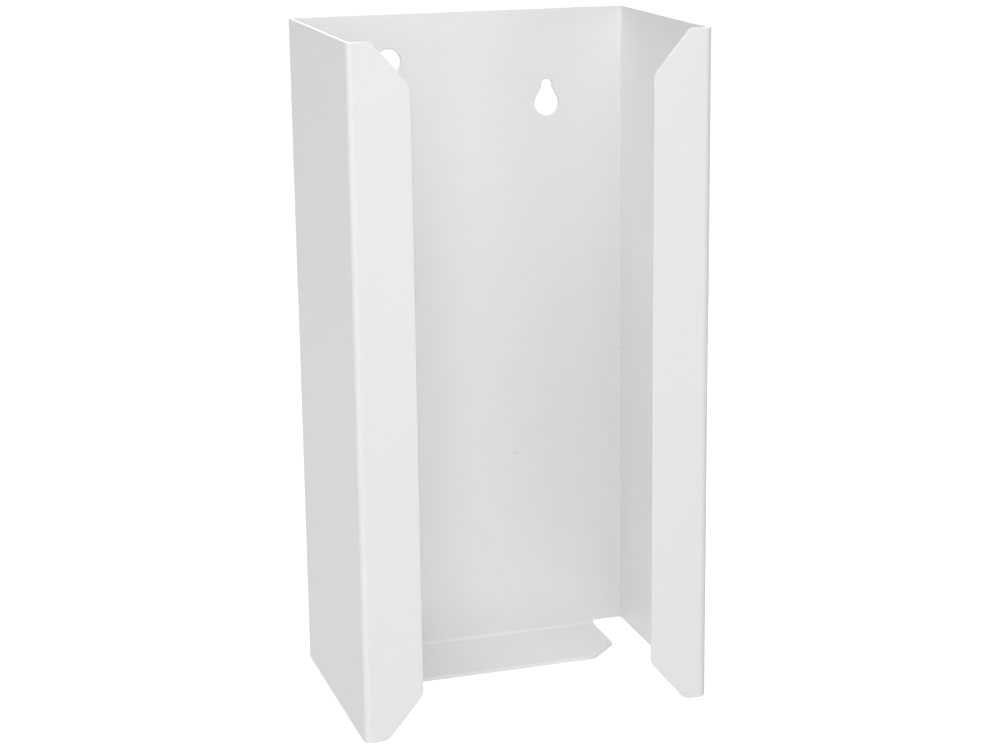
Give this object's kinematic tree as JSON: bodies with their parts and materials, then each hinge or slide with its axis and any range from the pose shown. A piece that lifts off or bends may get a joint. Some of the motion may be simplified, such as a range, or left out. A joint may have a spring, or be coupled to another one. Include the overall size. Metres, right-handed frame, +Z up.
{
  "type": "disposable glove dispenser",
  "caption": "Wall-hung holder for a carton of disposable gloves: one folded steel channel with front flanges, a bottom shelf tab and keyholes in its back.",
  "frame": {"origin": "centre of the back panel's rear face, midway between the sides and between the panel's top and bottom edges, on the wall", "axes": "+Y into the wall, square to the back panel; +Z up along the panel; the dispensing gap faces -Y; +X to the right seen from the front"},
  "size_m": [0.137, 0.094, 0.2627],
  "materials": {
    "powder_coat": "near-white semi-gloss powder coat on sheet steel, cut edges coated and slightly rounded"
  },
  "bodies": {
    "root": {"dispenser_body": "powder_coat"}
  },
  "joints": []
}
